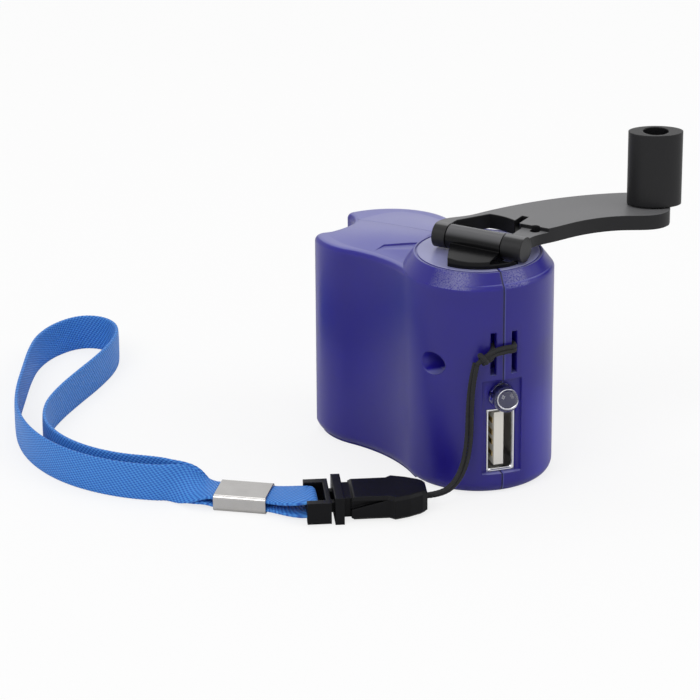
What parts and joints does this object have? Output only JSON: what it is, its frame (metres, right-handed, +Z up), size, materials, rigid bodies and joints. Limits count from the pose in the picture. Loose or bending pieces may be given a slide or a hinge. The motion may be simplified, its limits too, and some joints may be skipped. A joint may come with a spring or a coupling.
{
  "type": "hand crank phone charger",
  "caption": "Two-lobed translucent case with a folding side crank, knob, gear train, generator, upright USB socket, lamp and a buckled wrist strap.",
  "frame": {"origin": "where the axis of the crank's spindle meets the plane that the case stands on", "axes": "+Z up along the spindle, -Y the way the USB socket faces, +X to the right of a viewer who looks at the socket"},
  "size_m": [0.1276, 0.1082, 0.0661],
  "materials": {
    "case_blue": "translucent tinted plastic, satin moulded sides",
    "crank_black": "fine matt moulded black",
    "buckle_black": "satin moulded black",
    "gear_white": "natural acetal",
    "plate_grey": "dark moulded plastic",
    "steel": "ground steel",
    "screw_steel": "zinc plated",
    "zinc": "zinc plated pressed steel",
    "bush_white": "natural acetal",
    "brush_brass": "plain brass",
    "cap_white": "moulded nylon",
    "magnet_dark": "bare ferrite",
    "copper_wire": "enamelled copper wire",
    "board_green": "green solder mask",
    "socket_nickel": "bright nickel plate",
    "tongue_white": "moulded ivory white",
    "contact_gold": "gold flash",
    "lamp_clear": "clear epoxy",
    "lead_tin": "tinned wire",
    "capacitor_can": "sleeved can",
    "chip_black": "epoxy package",
    "wire_red": "insulated wire",
    "cord_black": "braided polyester cord",
    "web_blue": "woven polyester webbing",
    "ferrule_nickel": "bright nickel plate"
  },
  "bodies": {
    "housing": {"left_case": "case_blue", "right_case": "case_blue", "case_screw": "screw_steel", "spindle_bush": "bush_white", "thrust_washer": "bush_white", "gearbox_base": "plate_grey", "gearbox_lid": "plate_grey", "gearbox_screws": "screw_steel", "axle_one": "steel", "axle_two": "steel", "generator_can": "zinc", "generator_cap": "cap_white", "magnets": "magnet_dark", "brushes": "brush_brass", "circuit_board": "board_green", "usb_shell": "socket_nickel", "usb_tongue": "tongue_white", "usb_contacts": "contact_gold", "led_lens": "lamp_clear", "led_leads": "lead_tin", "capacitor": "capacitor_can", "diodes": "chip_black", "regulator": "chip_black", "generator_wires": "wire_red", "lanyard_cord": "cord_black", "cord_hitch": "cord_black", "buckle_socket": "buckle_black"},
    "crank": {"spindle": "steel", "crank_gear": "gear_white", "crank_hub": "crank_black"},
    "arm": {"hinge_pin": "steel", "crank_arm": "crank_black", "knob_screw": "screw_steel"},
    "grip": {"knob": "crank_black"},
    "first_gear": {"gear_one": "gear_white"},
    "second_gear": {"gear_two": "gear_white"},
    "rotor": {"rotor_core": "steel", "rotor_windings": "copper_wire", "commutator": "brush_brass", "rotor_shaft": "steel", "rotor_pinion": "brush_brass"},
    "strap": {"buckle_plug": "buckle_black", "strap_end": "web_blue", "crimp_ferrule": "ferrule_nickel", "strap_loop": "web_blue"}
  },
  "joints": [
    {"name": "crank_spin", "type": "hinge", "parent": "housing", "child": "crank", "pos_m": [0, 0, 0.04], "axis": [0, 0, 1], "continuous": true},
    {"name": "arm_fold", "type": "hinge", "parent": "crank", "child": "arm", "pos_m": [-0.00155, -0.00142, 0.04845], "axis": [0.676, -0.7369, 0], "range_deg": [0, 180]},
    {"name": "knob_spin", "type": "hinge", "parent": "arm", "child": "grip", "pos_m": [0.03704, 0.0006, 0.055], "axis": [0, 0, 1], "continuous": true},
    {"name": "gear_one_spin", "type": "hinge", "parent": "housing", "child": "first_gear", "pos_m": [-0.0063, 0.01306, 0.03], "axis": [0, 0, 1], "continuous": true},
    {"name": "gear_two_spin", "type": "hinge", "parent": "housing", "child": "second_gear", "pos_m": [-0.01041, 0.02433, 0.03], "axis": [0, 0, 1], "continuous": true},
    {"name": "rotor_spin", "type": "hinge", "parent": "housing", "child": "rotor", "pos_m": [-0.0041, 0.01724, 0.03], "axis": [0, 0, 1], "continuous": true},
    {"name": "buckle_release", "type": "slide", "parent": "housing", "child": "strap", "axis": [-0.9763, 0.2164, 0], "range_m": [0, 0.012]}
  ],
  "couplings": [
    {"joint": "gear_one_spin", "follows": "crank_spin", "ratio": -4.8},
    {"joint": "gear_two_spin", "follows": "crank_spin", "ratio": 14.4},
    {"joint": "rotor_spin", "follows": "crank_spin", "ratio": -40.32}
  ]
}
